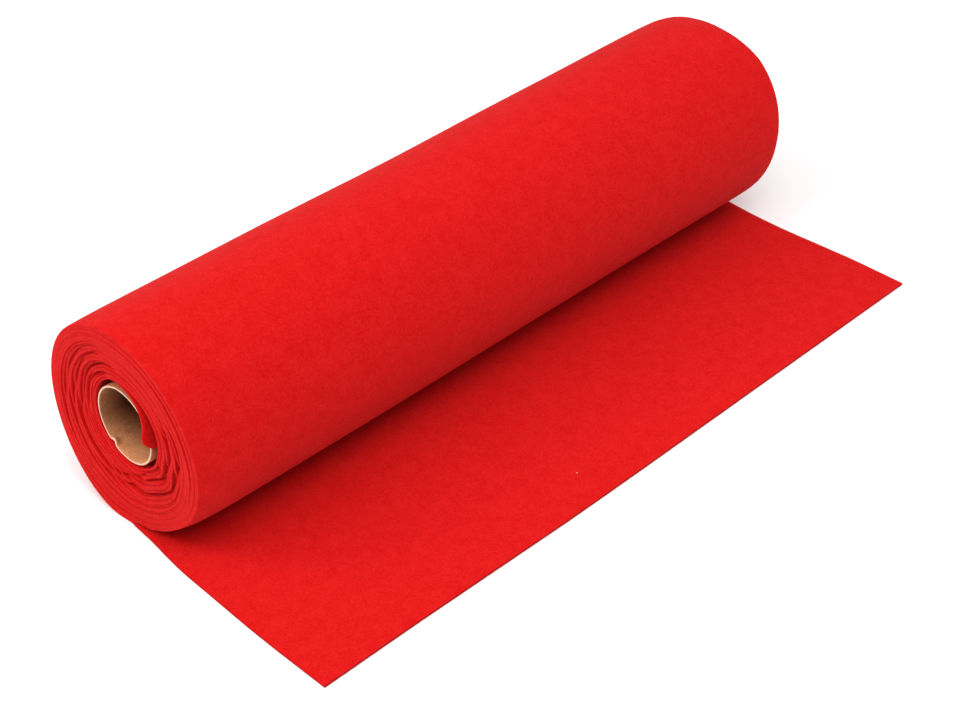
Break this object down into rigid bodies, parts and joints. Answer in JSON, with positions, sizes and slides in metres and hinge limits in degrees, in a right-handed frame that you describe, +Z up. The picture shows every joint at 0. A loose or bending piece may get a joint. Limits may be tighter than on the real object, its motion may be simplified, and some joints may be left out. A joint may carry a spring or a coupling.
{
  "type": "roll of felt",
  "caption": "Roll of red craft felt wound on a cardboard tube, lying on its side with its outer end rolled out flat in front of it.",
  "frame": {"origin": "on the surface the roll lies on, under the middle of the box round the whole part", "axes": "+X along the roll, from its near end to its far end; the loose end lies towards -Y; +Z up"},
  "size_m": [0.4126, 0.1956, 0.1054],
  "materials": {
    "red_felt": "matt red needled felt, with short fibres and soft cut edges",
    "cardboard": "plain brown cardboard, wound from paper strips, with a paler cut rim"
  },
  "bodies": {
    "root": {"felt": "red_felt", "core": "cardboard"}
  },
  "joints": []
}
